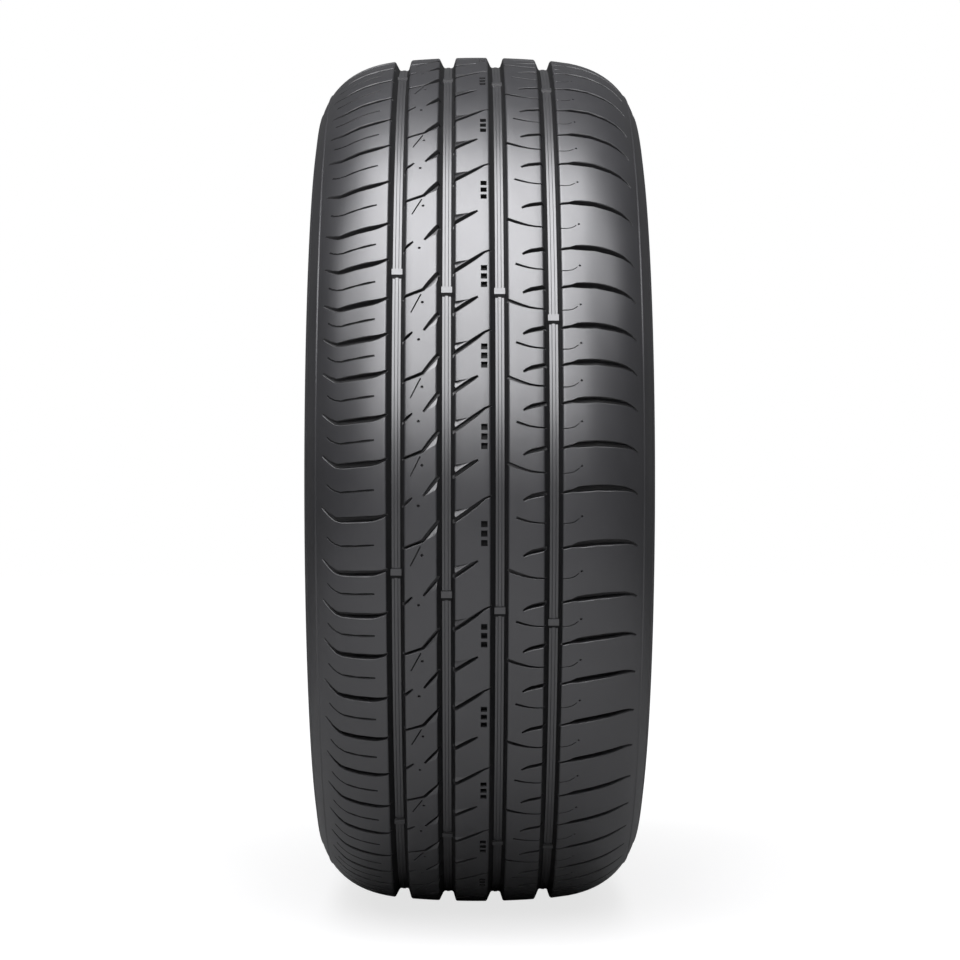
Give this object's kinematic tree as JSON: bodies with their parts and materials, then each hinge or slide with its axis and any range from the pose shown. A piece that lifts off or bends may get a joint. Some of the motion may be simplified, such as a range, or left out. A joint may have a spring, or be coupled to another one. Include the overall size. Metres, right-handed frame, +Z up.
{
  "type": "car tyre",
  "caption": "Wide low-profile road tyre with straight long grooves, cross-cut shoulder blocks, plain sidewalls and open beads that seat on a wheel rim.",
  "frame": {"origin": "centre of the tyre, on its axis at the middle of its width", "axes": "+Y along the wheel's axis, +Z up as it stands in the picture, +X towards the viewer of the tread"},
  "size_m": [0.748, 0.276, 0.748],
  "materials": {
    "tyre": "matte moulded rubber"
  },
  "bodies": {
    "root": {"tyre": "tyre"}
  },
  "joints": []
}
